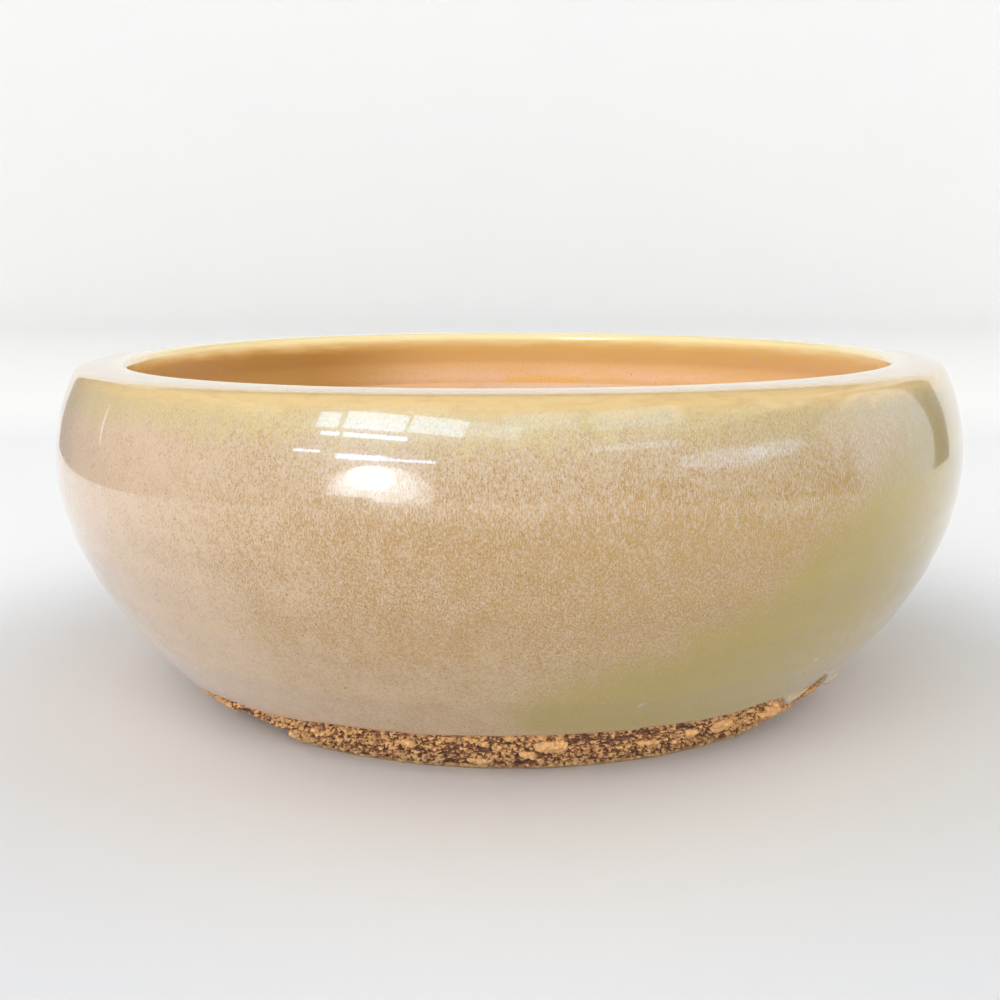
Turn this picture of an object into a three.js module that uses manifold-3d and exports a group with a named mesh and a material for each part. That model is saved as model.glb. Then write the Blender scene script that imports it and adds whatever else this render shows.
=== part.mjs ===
// Round stoneware bonsai pot: a glazed bowl on three low feet, with a drain hole and wire holes.
// Millimetres, +Z up. The origin is on the ground at the centre of the feet.
// Every ring of the pot is turned about Z, and all of them share the same number of facets, so
// neighbouring rings meet face to face.

import * as THREE from 'three';
import { mergeVertices } from 'three/addons/utils/BufferGeometryUtils.js';
import Module from 'manifold-3d';

// Driving dimensions
const SEGMENTS = 60;            // facets round every turned ring
const HEIGHT = 60.8;            // ground to the crest of the lip
const FOOT_RADIUS = 56.6;       // outside of the feet on the ground
const FOOT_WIDTH = 9.5;         // radial width of the feet on the ground
const FOOT_HEIGHT = 3;          // ground to the underside of the floor
const FOOT_COUNT = 3;
const NOTCH_ANGLE = 20;         // degrees between two neighbouring feet
const FIRST_FOOT = 12;          // azimuth of the first foot's middle, degrees from -Y towards +X
const FLOOR_THICKNESS = 7;
const FLOOR_RADIUS = 54;
const DRAIN_RADIUS = 10;        // central drain hole
const WIRE_HOLE_RADIUS = 2;     // holes for the wires that tie a tree in
const WIRE_HOLE_COUNT = 4;
const WIRE_HOLE_CIRCLE = 32;    // radius of the circle that the wire holes stand on
const FIRST_WIRE_HOLE = 45;     // azimuth of the first wire hole, degrees from -Y towards +X
const LIP_EDGE_RADIUS = 78.6;   // outer edge of the lip
const LIP_CREST_RADIUS = 71.6;  // highest circle of the lip
const LIP_DROP = 0.8;           // crest to outer edge
const LIP_DEPTH = 7.2;          // crest to where the rolled lip meets the wall inside
const LIP_ROOT_RADIUS = 74.4;   // where the rolled lip meets the wall inside
const GLAZE_THICKNESS = 0.6;
const BAND_SHARE = 1 / 6;       // share of the belly curve below the glaze line, left as bare clay

const FLOOR_TOP = FOOT_HEIGHT + FLOOR_THICKNESS;
const LIP_EDGE_HEIGHT = HEIGHT - LIP_DROP;
const LIP_ROOT_HEIGHT = HEIGHT - LIP_DEPTH;

// How finely things are cut up
const WIRE_HOLE_FACETS = 16;
const FOOT_STEPS = 2;           // straight steps up the side of a foot
const BAND_STEPS = 3;           // and up the side of the bare band
const WALL_STEPS = 8;           // and up each side of the wall
const LIP_SIDE_STEPS = 2;
const LIP_TOP_STEPS = 3;
const LIP_ROLL_STEPS = 5;
const SHARE_TOLERANCE = 1e-6;   // how closely the share of a curve is searched for
const MERGE_DISTANCE = 1e-4;    // points closer than this are one point
const CLEAR = 3;                // how many times too long a cutter is, to cut right through

// Finishes
const GLAZE = { color: 0xcbb283, roughness: 0.14, metalness: 0 };
const BARE_CLAY = { color: 0xc79a63, roughness: 0.9, metalness: 0 };
const INNER_CLAY = { color: 0xd8a273, roughness: 0.75, metalness: 0 };

const point = (radius, height) => new THREE.Vector2(radius, height);

// The points that pull the outline's curves into shape, each as a radius and a height
const BELLY_LOW_PULL = point(76.1, 16.4);
const BELLY_HIGH_PULL = point(89.6, 39);
const HOLLOW_LOW_PULL = point(65, FLOOR_TOP);
const HOLLOW_HIGH_PULL = point(79, 33);
const LIP_OUTER_PULL = point(77.6, 60.7);
const LIP_CREST_PULL = point(74, HEIGHT);
const LIP_INNER_PULL = point(68.4, HEIGHT);
const LIP_ROOT_PULL = point(69.4, 56);

const LIP_EDGE = point(LIP_EDGE_RADIUS, LIP_EDGE_HEIGHT);
const LIP_CREST = point(LIP_CREST_RADIUS, HEIGHT);
const LIP_ROOT = point(LIP_ROOT_RADIUS, LIP_ROOT_HEIGHT);

// The belly: one curve from the ground to the outer edge of the lip.
const belly = new THREE.CubicBezierCurve(
  point(FOOT_RADIUS, 0), BELLY_LOW_PULL, BELLY_HIGH_PULL, LIP_EDGE);

// The inside of the wall: from the floor, round the corner, up to the root of the lip.
const hollow = new THREE.CubicBezierCurve(
  point(FLOOR_RADIUS, FLOOR_TOP), HOLLOW_LOW_PULL, HOLLOW_HIGH_PULL, LIP_ROOT);

// The lip: out of the outer edge over the crest, and rolled in and down to its root.
const lipTop = new THREE.CubicBezierCurve(LIP_EDGE, LIP_OUTER_PULL, LIP_CREST_PULL, LIP_CREST);
const lipRoll = new THREE.CubicBezierCurve(LIP_CREST, LIP_INNER_PULL, LIP_ROOT_PULL, LIP_ROOT);

// Points of a curve between two shares of its parameter.
function sample(curve, from, to, steps) {
  return Array.from({ length: steps + 1 }, (_, i) => curve.getPoint(from + (to - from) * i / steps));
}

// The same outline, moved sideways by a distance. Its first and last points move too.
function offset(outline, distance) {
  return outline.map((here, i) => {
    const before = outline[Math.max(i - 1, 0)];
    const after = outline[Math.min(i + 1, outline.length - 1)];
    const along = after.clone().sub(before).normalize();
    return point(here.x - along.y * distance, here.y + along.x * distance);
  });
}

// The share of the belly curve at a height.
function bellyShare(height) {
  let low = 0;
  let high = 1;
  while (high - low > SHARE_TOLERANCE) {
    const middle = (low + high) / 2;
    if (belly.getPoint(middle).y < height) low = middle;
    else high = middle;
  }
  return low;
}

// A closed outline turned about Z.
function turned(outline) {
  const geometry = new THREE.LatheGeometry([...outline, outline[0]], SEGMENTS);
  return geometry.rotateX(Math.PI / 2);
}

// Solids for cutting and joining
const wasm = await Module();
wasm.setup();

function toSolid(geometry) {
  const bare = geometry.clone();
  bare.deleteAttribute('normal');
  bare.deleteAttribute('uv');
  const merged = mergeVertices(bare, MERGE_DISTANCE);
  return new wasm.Manifold(new wasm.Mesh({
    numProp: 3,
    vertProperties: new Float32Array(merged.attributes.position.array),
    triVerts: new Uint32Array(merged.index.array),
  }));
}

function toGeometry(solid) {
  const mesh = solid.getMesh();
  const geometry = new THREE.BufferGeometry();
  geometry.setAttribute('position', new THREE.BufferAttribute(mesh.vertProperties, 3));
  geometry.setIndex(new THREE.BufferAttribute(mesh.triVerts, 1));
  return geometry;
}

// A direction in plan, from an azimuth in degrees from -Y towards +X.
function direction(azimuth) {
  const angle = THREE.MathUtils.degToRad(azimuth);
  return new THREE.Vector2(Math.sin(angle), -Math.cos(angle));
}

const pot = new THREE.Group();

function add(name, geometry, finish) {
  const mesh = new THREE.Mesh(geometry, new THREE.MeshStandardMaterial(finish));
  mesh.name = name;
  pot.add(mesh);
}

// Runs of points end to end, each starting where the one before it ends.
const join = (...runs) => runs.flatMap((run, i) => (i > 0 ? run.slice(1) : run));

// Outlines that neighbouring pieces share, each from the bottom up
const footShare = bellyShare(FOOT_HEIGHT);
const rootShare = bellyShare(LIP_ROOT_HEIGHT);
const footSide = sample(belly, 0, footShare, FOOT_STEPS);
const bandSide = sample(belly, footShare, BAND_SHARE, BAND_STEPS);
const glazedWall = sample(belly, BAND_SHARE, rootShare, WALL_STEPS);
const glazedLip = join(
  sample(belly, rootShare, 1, LIP_SIDE_STEPS), sample(lipTop, 0, 1, LIP_TOP_STEPS),
  sample(lipRoll, 0, 1, LIP_ROLL_STEPS));
const glazeSkin = join(glazedWall, glazedLip);

// The clay under the glaze, divided where the wall ends and the lip starts
const clayBody = offset(glazeSkin, GLAZE_THICKNESS);
const wallSide = clayBody.slice(0, glazedWall.length);
const lipBody = clayBody.slice(glazedWall.length - 1);
const bandTop = clayBody[0];
const lipEnd = clayBody[clayBody.length - 1];

// The floor: a disc with a central drain hole and a circle of wire holes.
function floorSlab() {
  let slab = toSolid(turned([
    point(DRAIN_RADIUS, FOOT_HEIGHT), point(FLOOR_RADIUS, FOOT_HEIGHT),
    point(FLOOR_RADIUS, FLOOR_TOP), point(DRAIN_RADIUS, FLOOR_TOP),
  ]));
  for (let i = 0; i < WIRE_HOLE_COUNT; i += 1) {
    const azimuth = FIRST_WIRE_HOLE + 360 * i / WIRE_HOLE_COUNT;
    const spot = direction(azimuth).multiplyScalar(WIRE_HOLE_CIRCLE);
    const drill = new THREE.CylinderGeometry(
      WIRE_HOLE_RADIUS, WIRE_HOLE_RADIUS, CLEAR * FLOOR_THICKNESS, WIRE_HOLE_FACETS);
    drill.rotateX(Math.PI / 2).translate(spot.x, spot.y, FLOOR_TOP);
    slab = slab.subtract(toSolid(drill));
  }
  return toGeometry(slab);
}

// One foot: a stretch of the foot ring between two notches.
function foot(azimuth) {
  const ring = toSolid(turned([
    point(FOOT_RADIUS - FOOT_WIDTH, 0), ...footSide, point(FOOT_RADIUS - FOOT_WIDTH, FOOT_HEIGHT),
  ]));
  const reach = CLEAR * FOOT_RADIUS;
  const half = (360 / FOOT_COUNT - NOTCH_ANGLE) / 2;
  const wedge = new THREE.Shape([
    new THREE.Vector2(0, 0),
    direction(azimuth - half).multiplyScalar(reach),
    direction(azimuth + half).multiplyScalar(reach),
  ]);
  const sector = new THREE.ExtrudeGeometry(wedge, { depth: CLEAR * FOOT_HEIGHT, bevelEnabled: false });
  sector.translate(0, 0, -FOOT_HEIGHT);
  return toGeometry(ring.intersect(toSolid(sector)));
}

// Bare clay ring between the feet and the glaze line.
add('base_band', turned([
  point(FLOOR_RADIUS, FOOT_HEIGHT), ...bandSide, bandTop, point(FLOOR_RADIUS, bandTop.y),
]), BARE_CLAY);

// The thrown wall, from the band to the root of the lip.
add('wall_shell', turned([
  point(FLOOR_RADIUS, bandTop.y), ...wallSide, lipEnd, ...sample(hollow, 0, 1, WALL_STEPS).reverse(),
]), INNER_CLAY);

// The rolled lip that closes the mouth in.
add('rolled_lip', turned(lipBody), INNER_CLAY);

// The glaze, a thin coat over the wall and the lip.
add('glaze_coat', turned([...glazeSkin, ...clayBody.toReversed()]), GLAZE);

add('floor_slab', floorSlab(), INNER_CLAY);

for (let i = 0; i < FOOT_COUNT; i += 1) {
  add(`foot_${i + 1}`, foot(FIRST_FOOT + 360 * i / FOOT_COUNT), BARE_CLAY);
}

export default pot;
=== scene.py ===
"""The looks of a round glazed bonsai pot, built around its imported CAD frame.

Blender works in metres. The outlines below are in millimetres, as potters measure, and are turned
into metres when a mesh is made. Azimuths are in degrees or radians from the front (-Y) towards +X.
"""
import math

import bpy
import numpy as np
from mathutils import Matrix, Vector, noise


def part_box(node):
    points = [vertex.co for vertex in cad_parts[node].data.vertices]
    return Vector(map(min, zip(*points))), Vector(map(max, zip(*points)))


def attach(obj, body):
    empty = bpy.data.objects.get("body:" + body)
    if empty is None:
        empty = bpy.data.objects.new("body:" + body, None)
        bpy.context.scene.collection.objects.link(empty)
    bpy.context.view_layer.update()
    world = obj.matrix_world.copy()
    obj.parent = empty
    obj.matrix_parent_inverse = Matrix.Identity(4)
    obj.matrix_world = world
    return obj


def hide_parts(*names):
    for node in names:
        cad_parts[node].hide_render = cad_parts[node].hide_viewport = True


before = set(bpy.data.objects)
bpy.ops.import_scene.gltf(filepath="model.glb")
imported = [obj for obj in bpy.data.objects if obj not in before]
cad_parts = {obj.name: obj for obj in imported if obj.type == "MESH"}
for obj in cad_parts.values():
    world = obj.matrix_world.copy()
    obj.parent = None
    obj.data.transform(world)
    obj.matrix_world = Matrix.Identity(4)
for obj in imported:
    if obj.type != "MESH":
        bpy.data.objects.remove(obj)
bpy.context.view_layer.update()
noise.seed_set(7)               # the same tears in every run

MM = 0.001

# ---------------------------------------------------------------- sizes, from the CAD frame
FOOT_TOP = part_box("foot_1")[1].z / MM           # the underside of the floor
FLOOR_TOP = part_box("floor_slab")[1].z / MM
FLOOR_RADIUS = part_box("floor_slab")[1].x / MM
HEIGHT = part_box("glaze_coat")[1].z / MM         # the crest of the lip
GLAZE_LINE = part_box("glaze_coat")[0].z / MM     # mean height of the glaze's lower edge
GLAZE_THICKNESS = 0.6
CLAY_GAP = 0.1                  # left between the coat and the clay below it
LIP_SEAM = 53                   # the height where the wall ends and the lip starts, outside

# The outline curves of the CAD model, as radius and height of each control point. Only the corner
# under the lip is softer here, as glaze and wet clay fill it.
BELLY = ((56.6, 0), (76.1, 16.4), (89.6, 39), (78.6, 60))
LIP_TOP = ((78.6, 60), (77.6, 60.7), (74, HEIGHT), (71.6, HEIGHT))
LIP_ROLL = ((71.6, HEIGHT), (68.3, HEIGHT), (69.2, 58.4), (72.9, 54.0))
HOLLOW = ((72.9, 54.0), (78.6, 40), (66, FLOOR_TOP), (FLOOR_RADIUS, FLOOR_TOP))
FOOT_RADIUS = BELLY[0][0]
FOOT_WIDTH = 9.5
FOOT_AZIMUTHS = (12, 132, 252)
FOOT_ARC = 100
DRAIN_RADIUS = 10
WIRE_HOLE_RADIUS = 2
WIRE_HOLE_CIRCLE = 32
WIRE_HOLE_AZIMUTHS = (45, 135, 225, 315)

# ---------------------------------------------------------------- outlines


def smoothstep(low, high, value):
    share = np.clip((value - low) / (high - low), 0, 1)
    return share * share * (3 - 2 * share)


def bezier(points, shares):
    """Points of a cubic curve at some shares of its parameter, as rows of radius and height."""
    a, b, c, d = (np.array(p, float) for p in points)
    t = np.asarray(shares, float)[:, None]
    return (1 - t) ** 3 * a + 3 * t * (1 - t) ** 2 * b + 3 * t * t * (1 - t) * c + t ** 3 * d


def joined(*runs):
    """Runs of points end to end, without the points that two runs share."""
    return np.concatenate([runs[0]] + [run[1:] for run in runs[1:]])


def curve_share(points, height):
    """The share of a rising curve's parameter at a height."""
    shares = np.linspace(0, 1, 2001)
    return float(np.interp(height, bezier(points, shares)[:, 1], shares))


def evenly(outline, count, softness=0.0):
    """The outline with count points, evenly spaced, its corners rounded over softness mm."""
    dense = 4000
    steps = np.hypot(*np.diff(outline, axis=0).T)
    length = np.concatenate([[0], np.cumsum(steps)])
    even = np.linspace(0, length[-1], dense)
    fine = np.stack([np.interp(even, length, outline[:, k]) for k in (0, 1)], 1)
    reach = int(softness / length[-1] * dense)
    if reach > 0:
        weights = np.hanning(2 * reach + 3)
        weights /= weights.sum()
        pad = reach + 1
        for k in (0, 1):
            ends = (2 * fine[0, k] - fine[pad:0:-1, k], 2 * fine[-1, k] - fine[-2:-pad - 2:-1, k])
            padded = np.concatenate([ends[0], fine[:, k], ends[1]])
            fine[:, k] = np.convolve(padded, weights, "valid")
    pick = np.linspace(0, dense - 1, count)
    return np.stack([np.interp(pick, np.arange(dense), fine[:, k]) for k in (0, 1)], 1)


def normals(outline):
    """Unit normals to the right of an outline's direction: outwards, where it rises."""
    along = np.gradient(outline, axis=0)
    along /= np.linalg.norm(along, axis=1)[:, None]
    return np.stack([along[:, 1], -along[:, 0]], 1)


# ---------------------------------------------------------------- meshes


def placed(radius, height, azimuths):
    """Points from their radius, height and azimuth."""
    return np.stack([radius * np.sin(azimuths), -radius * np.cos(azimuths), height], -1)


def turned_points(outline, azimuths, out=0.0, lift=0.0):
    """Rows of points, one row for each point of the outline, in millimetres.

    out moves a point along the outline's normal, and lift straight up. Both are numbers or
    arrays of rows by columns.
    """
    normal = normals(outline)
    radius = outline[:, :1] + normal[:, :1] * out
    height = outline[:, 1:] + normal[:, 1:] * out + lift
    radius, height = (np.broadcast_to(v, (len(outline), len(azimuths))) for v in (radius, height))
    return placed(radius, height, azimuths)


def new_piece(name, points, faces, material, cad_nodes, flat_faces=()):
    """A mesh object that rides on the pot and stands for some CAD nodes. Points are in mm."""
    mesh = bpy.data.meshes.new(name)
    mesh.from_pydata((points * MM).tolist(), [], faces)
    mesh.shade_smooth()
    for index in flat_faces:
        mesh.polygons[index].use_smooth = False
    mesh.materials.append(material)
    mesh.validate()
    piece = bpy.data.objects.new(name, mesh)
    bpy.context.scene.collection.objects.link(piece)
    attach(piece, "root")
    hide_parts(*cad_nodes)
    return piece


def grid_faces(rows, columns, close_rows=True, close_columns=True):
    """Quads over a grid of points that is numbered row by row."""
    i, j = np.meshgrid(
        np.arange(rows if close_rows else rows - 1),
        np.arange(columns if close_columns else columns - 1), indexing="ij")
    a = (i * columns + j).ravel()
    b = (i * columns + (j + 1) % columns).ravel()
    c = ((i + 1) % rows * columns + (j + 1) % columns).ravel()
    d = ((i + 1) % rows * columns + j).ravel()
    return np.stack([a, b, c, d], 1).tolist()


def ring(name, points, material, cad_nodes):
    """A closed ring from rows of points that run round its section."""
    rows, columns = points.shape[:2]
    return new_piece(name, points.reshape(-1, 3), grid_faces(rows, columns), material, cad_nodes)


def circle(count):
    return np.arange(count) / count * 2 * math.pi


# ---------------------------------------------------------------- hand-made unevenness


def lip_tilt(azimuths):
    """How far the hand-thrown lip rises above its mean height, in mm."""
    tilt = 0.07 - 0.36 * np.cos(azimuths) + 0.30 * np.sin(azimuths)
    return tilt + 0.07 * np.sin(2 * azimuths + 0.9) + 0.05 * np.sin(3 * azimuths + 2.2)


def lip_lift(azimuths, heights):
    """How far the uneven lip lifts the wall with it: not at all low down, and fully at the top."""
    return lip_tilt(azimuths) * smoothstep(25, 60, heights)


def throwing_rings(azimuths, heights, pitch, depth):
    """The spiral that a potter's fingers leave, with a softer second spiral, in mm."""
    turns = 2 * math.pi * heights[:, None] / pitch
    drift = 0.5 * np.sin(2 * azimuths + 0.4) + 0.35 * np.sin(3 * azimuths + 1.9)
    first = np.sin(turns - azimuths + drift)
    second = np.sin(1.83 * turns - 2 * azimuths + 1.7 * drift + 0.8)
    return depth * (first + 0.45 * second)


def out_of_round(azimuths):
    return 0.14 * np.sin(2 * azimuths + 0.7) + 0.09 * np.sin(3 * azimuths + 2.4)


# ---------------------------------------------------------------- shader building


class Shader:
    """A material under construction. Each method adds a node and returns its result."""

    def __init__(self, name):
        self.material = bpy.data.materials.new(name)
        self.material.use_nodes = True
        self.tree = self.material.node_tree
        self.tree.nodes.clear()
        self.position = self.node("ShaderNodeTexCoord").outputs["Object"]
        split = self.node("ShaderNodeSeparateXYZ", {"Vector": self.position})
        x, y, z = (split.outputs[k] for k in "XYZ")
        self.height = self.math("MULTIPLY", z, 1 / MM)
        back = self.math("MULTIPLY", y, -1)
        self.azimuth = self.math("MULTIPLY", self.math("ARCTAN2", x, back), 180 / math.pi)
        self.radius = self.math("MULTIPLY", self.distance(x, y), 1 / MM)

    def node(self, kind, inputs=None, **settings):
        made = self.tree.nodes.new(kind)
        for key, value in settings.items():
            setattr(made, key, value)
        for key, value in (inputs or {}).items():
            self.plug(made.inputs[key], value)
        return made

    def plug(self, socket, value):
        if isinstance(value, bpy.types.NodeSocket):
            self.tree.links.new(value, socket)
        else:
            socket.default_value = value

    def math(self, operation, a, b=0.0):
        return self.node("ShaderNodeMath", {0: a, 1: b}, operation=operation).outputs[0]

    def ramp(self, value, low, high, out_low=0.0, out_high=1.0):
        """A smooth step of a value from one range to another."""
        return self.node(
            "ShaderNodeMapRange",
            {"Value": value, "From Min": low, "From Max": high, "To Min": out_low, "To Max": out_high},
            interpolation_type="SMOOTHSTEP").outputs[0]

    def distance(self, a, b):
        """The length of a diagonal over two sides."""
        squares = self.math("ADD", self.math("MULTIPLY", a, a), self.math("MULTIPLY", b, b))
        return self.math("SQRT", squares)

    def sum(self, *values):
        total = values[0]
        for value in values[1:]:
            total = self.math("ADD", total, value)
        return total

    def product(self, *values):
        total = values[0]
        for value in values[1:]:
            total = self.math("MULTIPLY", total, value)
        return total

    def back_left(self, start):
        """How far inside the back left of the pot a point is, counted from a starting azimuth."""
        return self.math("MULTIPLY", self.ramp(self.azimuth, start, -140), self.ramp(self.azimuth, -50, -90))

    def cells(self, wide, tall, seed):
        """The position, counted in cells of wide by wide by tall mm, and moved on by a seed."""
        scale = (1 / wide / MM, 1 / wide / MM, 1 / tall / MM)
        shift = (seed, 2.3 * seed, 5.1 * seed)
        return self.node("ShaderNodeVectorMath", {0: self.position, 1: scale, 2: shift},
                         operation="MULTIPLY_ADD").outputs[0]

    def noise(self, wide, tall=None, detail=2.0, rough=0.5, seed=0.0):
        """Noise whose features are about wide mm across and tall mm high, with its middle at 0.5."""
        vector = self.cells(wide, tall or wide, seed)
        made = self.node(
            "ShaderNodeTexNoise",
            {"Vector": vector, "Scale": 1.0, "Detail": detail, "Roughness": rough},
            noise_dimensions="3D")
        return made.outputs[0]

    def swing(self, amount, *cell, **settings):
        """Noise about zero: mostly within a third of the amount on both sides."""
        return self.math("MULTIPLY", self.math("SUBTRACT", self.noise(*cell, **settings), 0.5), amount)

    def specks(self, cell, size, share, seed=0.0):
        """Dots about size mm across, one in each cell of cell mm, in a share of the cells."""
        vector = self.cells(cell, cell, seed)
        made = self.node(
            "ShaderNodeTexVoronoi", {"Vector": vector, "Scale": 1.0}, voronoi_dimensions="3D")
        near = self.ramp(made.outputs["Distance"], size / cell, 0.5 * size / cell)
        chance = self.node("ShaderNodeSeparateColor", {"Color": made.outputs["Color"]}).outputs[0]
        return self.math("MULTIPLY", near, self.math("LESS_THAN", chance, share))

    def mix(self, amount, a, b):
        made = self.node("ShaderNodeMix", {0: amount, 6: a, 7: b}, data_type="RGBA")
        return made.outputs[2]

    def bump(self, height, distance, strength=1.0, normal=None):
        """A normal from a height that is given in shares of distance, which is in mm."""
        inputs = {"Height": height, "Distance": distance * MM, "Strength": strength}
        if normal is not None:
            inputs["Normal"] = normal
        return self.node("ShaderNodeBump", inputs).outputs[0]

    def finish(self, color, roughness, **constants):
        """The surface. Constants are set on the shader's own sockets."""
        surface = self.node("ShaderNodeBsdfPrincipled", {"Base Color": color, "Roughness": roughness})
        for key, value in constants.items():
            self.plug(surface.inputs[key.replace("_", " ")], value)
        output = self.node("ShaderNodeOutputMaterial")
        self.tree.links.new(surface.outputs[0], output.inputs["Surface"])
        return self.material


def srgb(red, green, blue):
    """A linear colour with alpha, from the 0 to 255 values that a colour picker shows."""
    def linear(value):
        value /= 255
        return value / 12.92 if value <= 0.04045 else ((value + 0.055) / 1.055) ** 2.4
    return (linear(red), linear(green), linear(blue), 1.0)


# ---------------------------------------------------------------- materials

# How dark the glaze is fired: the share of each colour below that it sends back.
GLAZE_TONE = (0.63, 0.62, 0.59)


def fired(red, green, blue):
    return tuple(channel * tone for channel, tone in zip(srgb(red, green, blue), GLAZE_TONE)) + (1.0,)


BEIGE = fired(224, 196, 162)
# A duller beige for the right side: partly the glaze's own tone, partly painted shade.
DRAB_AND_SHADE = fired(200, 176, 140)
PINK = fired(243, 213, 187)
OCHRE = fired(198, 156, 92)
GOLD = fired(198, 164, 88)
PALE = fired(232, 222, 210)
BROWN = fired(112, 76, 42)
OLIVE = fired(193, 173, 82)
OLIVE_GREY = fired(196, 176, 102)
STRAW = fired(232, 212, 148)
LIME = fired(200, 188, 142)
AMBER = fired(250, 218, 156)
ORANGE = fired(242, 204, 144)
HONEY_PALE = srgb(229, 213, 160)
HONEY = srgb(220, 184, 116)
THIN_HONEY = srgb(225, 187, 130)
SHADED_HONEY = srgb(174, 134, 64)
PEACH = srgb(228, 190, 142)
PINK_PEACH = srgb(230, 193, 160)
GOLD_PEACH = srgb(232, 190, 114)
MILKY = fired(228, 228, 220)
CREAM = fired(250, 226, 166)
ROSE = fired(222, 172, 130)


FRONT_DRIPS = (43.6, 54.5)      # azimuths of the two cream-coloured drips on the right


def glaze_material():
    """Mottled glaze: beige in front, pink on the left and olive on the right, with honey inside."""
    s = Shader("glaze")
    drift = s.swing(14, 15, detail=2)
    height = s.sum(s.height, drift)
    azimuth = s.sum(s.azimuth, s.math("MULTIPLY", drift, 2))

    # Where each glaze lies on the outside of the wall
    right = s.ramp(s.azimuth, -10, 55)
    left = s.ramp(azimuth, -8, -62)
    centre = s.product(s.ramp(azimuth, -42, -4), s.ramp(azimuth, 62, 30), s.ramp(height, 16, 31),
                       s.ramp(height, 52, 42))
    steep = s.math("MAXIMUM", s.math("MULTIPLY", s.sum(azimuth, -21), 0.75), 0.0)
    rise = s.sum(s.math("MULTIPLY", azimuth, 0.36), 18, steep)
    edge = s.sum(s.math("SUBTRACT", rise, height), s.swing(10, 1.6, 2.4, detail=3, seed=14.0))
    olive = s.product(s.ramp(edge, -5.5, 5.5), s.ramp(azimuth, -3, 9), s.ramp(azimuth, 155, 115))
    streaks = s.sum(s.swing(9, 0.55, 4.5, detail=2), s.swing(7, 2.4, 3.0, detail=2, seed=1.0))
    under_lip = s.ramp(s.sum(s.height, streaks, s.math("MULTIPLY", drift, 0.3)), 51.5, 57.5)
    amber = s.ramp(s.sum(s.height, s.swing(3.0, 2.6, 1.2, seed=2.0)), 56.6, 59.3)

    # The mottled ground: beige grains, with ochre ones among them, drawn a little down the wall
    low_left = s.product(s.ramp(s.height, 34, 24), s.ramp(azimuth, 6, -8))
    loud = s.math("SUBTRACT", 1.0, s.math("MULTIPLY", s.math("MAXIMUM", left, low_left), 0.55))
    grain = s.product(s.swing(2.7, 0.22, 0.40, detail=2, rough=0.6), loud)
    clots = s.swing(0.60, 0.60, 1.1, detail=2, rough=0.55, seed=3.0)
    patches = s.swing(0.42, 3.4, 4.5, detail=2, seed=4.0)
    zone = s.sum(0.36, s.math("MULTIPLY", centre, 0.30), s.math("MULTIPLY", left, -0.17))
    mottle = s.ramp(s.sum(zone, grain, clots, patches), 0.12, 0.88)
    # Duller and darker towards the right: partly the glaze's own tone, partly painted shade on the dimmer
    # side.
    pale_ground = s.mix(left, s.mix(s.math("MULTIPLY", right, 0.6), BEIGE, DRAB_AND_SHADE), PINK)
    ground = s.mix(mottle, pale_ground, s.mix(right, OCHRE, GOLD))
    flecks = s.noise(0.20, 0.36, detail=2, rough=0.6, seed=7.0)
    flecks = s.math("MULTIPLY", flecks, s.ramp(s.height, 46, 34))
    drawn = s.noise(0.20, 0.95, detail=2, rough=0.6, seed=7.0)
    drawn = s.math("MULTIPLY", drawn, s.ramp(s.height, 34, 46))
    pale = s.ramp(s.sum(flecks, drawn, s.ramp(s.height, 40, 52, 0, 0.06)), 0.50, 0.72)
    ground = s.mix(s.product(pale, loud, 0.58), ground, PALE)

    # Olive glaze low on the right: smoother, with the same grains showing faintly
    tint = s.ramp(s.sum(0.5, s.swing(0.9, 6.0, detail=2, seed=8.0)), 0.3, 0.7)
    smooth_olive = s.mix(tint, OLIVE, OLIVE_GREY)
    smooth_olive = s.mix(s.math("MULTIPLY", mottle, 0.30), smooth_olive, GOLD)
    smooth_olive = s.mix(s.math("MULTIPLY", pale, 0.20), smooth_olive, PALE)
    color = s.mix(s.math("MULTIPLY", olive, 0.88), ground, smooth_olive)

    # Straw-coloured glaze under the lip, greener on the right, and amber where the lip turns
    straw = s.mix(s.math("MULTIPLY", right, 0.85), STRAW, LIME)
    straw = s.mix(s.math("MULTIPLY", mottle, 0.45), straw, GOLD)
    straw = s.mix(s.math("MULTIPLY", pale, 0.40), straw, PALE)
    color = s.mix(s.math("MULTIPLY", under_lip, 0.8), color, straw)
    toast = s.ramp(s.sum(0.5, s.swing(1.2, 3.2, 0.7, detail=3, seed=11.0)), 0.40, 0.80)
    warm = s.mix(toast, AMBER, ORANGE)
    color = s.mix(s.math("MULTIPLY", amber, 0.85), color, warm)

    # Honey glaze pooled inside the lip, thinning out to peach over the wall, with painted shade making it
    # browner on the back left
    limit = s.ramp(s.height, 60.3, 58.5, -72.7, -77.0)
    inside = s.product(s.ramp(s.sum(s.radius, limit), 0.9, -0.9), s.ramp(s.height, 40, 45))
    run = s.sum(s.height, s.swing(2.5, 9.0, 1.5, seed=12.0))
    pooled = s.mix(s.ramp(run, 60.4, 57.4), HONEY_PALE, HONEY)
    pooled = s.mix(s.ramp(run, 57.4, 54.6), pooled, THIN_HONEY)
    peach = s.mix(s.ramp(s.noise(14, 3.0, detail=2, seed=15.0), 0.40, 0.60), PEACH, PINK_PEACH)
    warped = s.sum(s.azimuth, s.swing(26, 14, 8, detail=2, seed=6.0))
    peach = s.mix(s.product(s.ramp(warped, 155, 168), s.ramp(run, 52.5, 49.5), 0.7), peach, GOLD_PEACH)
    pooled = s.mix(s.ramp(run, 54.4, 50.5), pooled, peach)
    # Painted shade: the inside of the lip on the back left faces away from the light.
    shade = s.product(s.back_left(-172), s.ramp(run, 59.5, 56.5))
    pooled = s.mix(s.math("MULTIPLY", shade, 0.9), pooled, SHADED_HONEY)
    color = s.mix(inside, color, pooled)

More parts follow.
